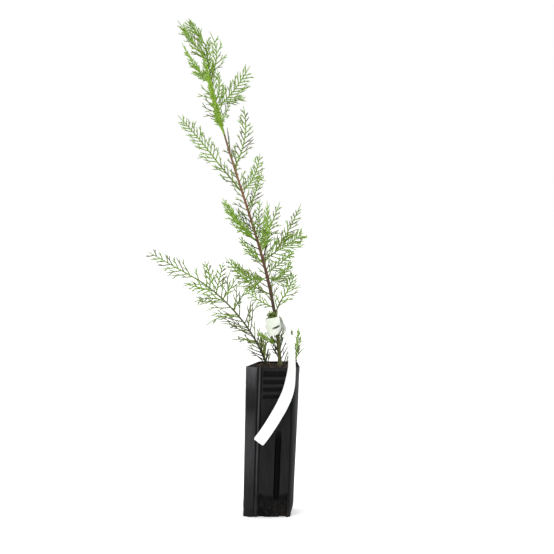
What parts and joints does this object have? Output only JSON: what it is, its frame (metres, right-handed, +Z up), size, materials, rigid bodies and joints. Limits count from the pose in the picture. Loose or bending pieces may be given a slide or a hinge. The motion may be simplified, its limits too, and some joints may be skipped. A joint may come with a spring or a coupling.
{
  "type": "potted leyland cypress sapling",
  "caption": "Young leyland cypress in a deep square tube pot: slim leaning stem, flat fern-like sprays, one long low bough and a blank wrap-round label.",
  "frame": {"origin": "middle of the pot's flat underside", "axes": "+Z up along the pot, +X to the right of a viewer at -Y who sees the label's tail in front of the pot"},
  "size_m": [0.2061, 0.093, 0.6532],
  "materials": {
    "pot_plastic": "satin",
    "compost": "matte",
    "label_plastic": "satin",
    "bark": "matte",
    "foliage": "matte"
  },
  "bodies": {
    "root": {"pot": "pot_plastic", "root_ball": "compost", "label": "label_plastic", "trunk": "bark", "low_left_bough": "bark", "high_left_bough": "bark", "right_bough": "bark", "left_bough": "bark", "lower_right_bough": "bark", "base_right_bough": "bark", "leader_spray": "foliage", "top_left_spray": "foliage", "top_front_spray": "foliage", "top_left_low_spray": "foliage", "top_back_spray": "foliage", "upper_front_spray": "foliage", "upper_right_spray": "foliage", "upper_back_spray": "foliage", "front_dense_spray": "foliage", "high_left_spray": "foliage", "high_left_back_spray": "foliage", "high_right_spray": "foliage", "high_back_spray": "foliage", "right_upper_spray": "foliage", "right_front_spray": "foliage", "left_dense_spray": "foliage", "left_back_spray": "foliage", "middle_up_spray": "foliage", "middle_front_spray": "foliage", "middle_right_spray": "foliage", "right_low_spray": "foliage", "right_high_spray": "foliage", "right_small_spray": "foliage", "right_hanging_spray": "foliage", "left_small_spray": "foliage", "left_low_spray": "foliage", "left_bough_spray": "foliage", "lower_right_spray": "foliage", "lower_left_spray": "foliage", "middle_back_spray": "foliage", "lower_back_spray": "foliage", "loop_tuft": "foliage", "bough_tip_spray": "foliage", "bough_upper_spray_1": "foliage", "bough_upper_spray_2": "foliage", "bough_upper_spray_3": "foliage", "bough_upper_spray_4": "foliage", "bough_upper_spray_5": "foliage", "bough_lower_spray_1": "foliage", "bough_lower_spray_2": "foliage", "bough_lower_spray_3": "foliage", "bough_lower_spray_4": "foliage", "bough_lower_spray_5": "foliage", "base_left_spray": "foliage", "base_tuft": "foliage", "base_right_spray_1": "foliage", "base_right_spray_2": "foliage", "base_right_back_spray": "foliage", "base_left_back_spray": "foliage"}
  },
  "joints": []
}
